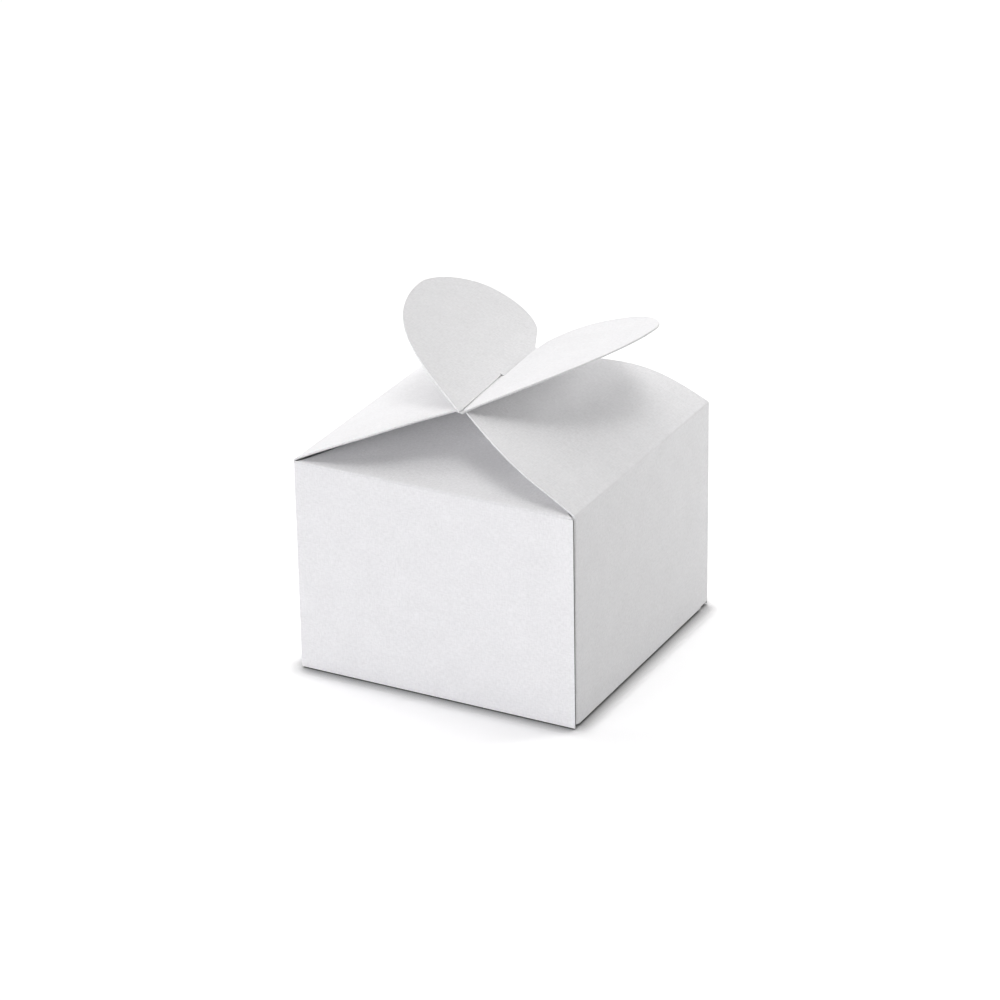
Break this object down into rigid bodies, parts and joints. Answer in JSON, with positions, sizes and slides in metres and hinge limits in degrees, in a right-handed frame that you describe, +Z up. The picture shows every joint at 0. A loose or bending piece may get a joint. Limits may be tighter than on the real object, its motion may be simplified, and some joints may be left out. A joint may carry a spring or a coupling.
{
  "type": "favour box",
  "caption": "Small square card favour box with a tuck bottom and two crossed top flaps whose slit half hearts hook into a standing heart.",
  "frame": {"origin": "on the resting surface under the middle of the square box body", "axes": "+Z up; +X to the right along the front wall, whose raw edge shows at the right front corner; +Y from the front wall to the back wall, with the heart's point towards -Y"},
  "size_m": [0.07, 0.07, 0.0769],
  "materials": {
    "white_card": "matt white uncoated card with a fine felt grain"
  },
  "bodies": {
    "walls": {"front_wall": "white_card", "right_wall": "white_card", "back_wall": "white_card", "left_wall": "white_card", "glue_tab": "white_card"},
    "left_heart": {"left_heart_flap": "white_card", "left_heart_lobe": "white_card"},
    "right_heart": {"right_heart_flap": "white_card", "right_heart_lobe": "white_card"},
    "front_inner": {"front_inner_flap": "white_card"},
    "back_inner": {"back_inner_flap": "white_card"},
    "bottom": {"bottom_panel": "white_card"},
    "tuck_tab": {"bottom_tuck_tab": "white_card"},
    "left_dust": {"left_dust_flap": "white_card"},
    "right_dust": {"right_dust_flap": "white_card"}
  },
  "joints": [
    {"name": "left_heart_crease", "type": "hinge", "parent": "walls", "child": "left_heart", "pos_m": [-0.0348, 0, 0.052], "axis": [0, -1, 0], "range_deg": [0, 110], "deforming": ["left_heart_lobe"]},
    {"name": "right_heart_crease", "type": "hinge", "parent": "walls", "child": "right_heart", "pos_m": [0.0348, 0, 0.052], "axis": [0, 1, 0], "range_deg": [0, 110], "deforming": ["right_heart_lobe"]},
    {"name": "front_inner_crease", "type": "hinge", "parent": "walls", "child": "front_inner", "pos_m": [0, -0.0348, 0.0516], "axis": [1, 0, 0], "range_deg": [0, 110]},
    {"name": "back_inner_crease", "type": "hinge", "parent": "walls", "child": "back_inner", "pos_m": [0, 0.0348, 0.0516], "axis": [-1, 0, 0], "range_deg": [0, 110]},
    {"name": "bottom_crease", "type": "hinge", "parent": "walls", "child": "bottom", "pos_m": [0, -0.0348, 0.0002], "axis": [-1, 0, 0], "range_deg": [0, 120]},
    {"name": "tuck_tab_crease", "type": "hinge", "parent": "bottom", "child": "tuck_tab", "pos_m": [0, 0.03388, 0.0004], "axis": [1, 0, 0], "range_deg": [0, 65]},
    {"name": "left_dust_crease", "type": "hinge", "parent": "walls", "child": "left_dust", "pos_m": [-0.0348, 0, 0.0009], "axis": [0, 1, 0], "range_deg": [0, 90]},
    {"name": "right_dust_crease", "type": "hinge", "parent": "walls", "child": "right_dust", "pos_m": [0.0348, 0, 0.0009], "axis": [0, -1, 0], "range_deg": [0, 90]}
  ],
  "couplings": [
    {"joint": "right_heart_crease", "follows": "left_heart_crease", "ratio": 1},
    {"joint": "front_inner_crease", "follows": "left_heart_crease", "ratio": 1},
    {"joint": "back_inner_crease", "follows": "left_heart_crease", "ratio": 1},
    {"joint": "left_dust_crease", "follows": "bottom_crease", "ratio": 0.75},
    {"joint": "right_dust_crease", "follows": "bottom_crease", "ratio": 0.75}
  ]
}
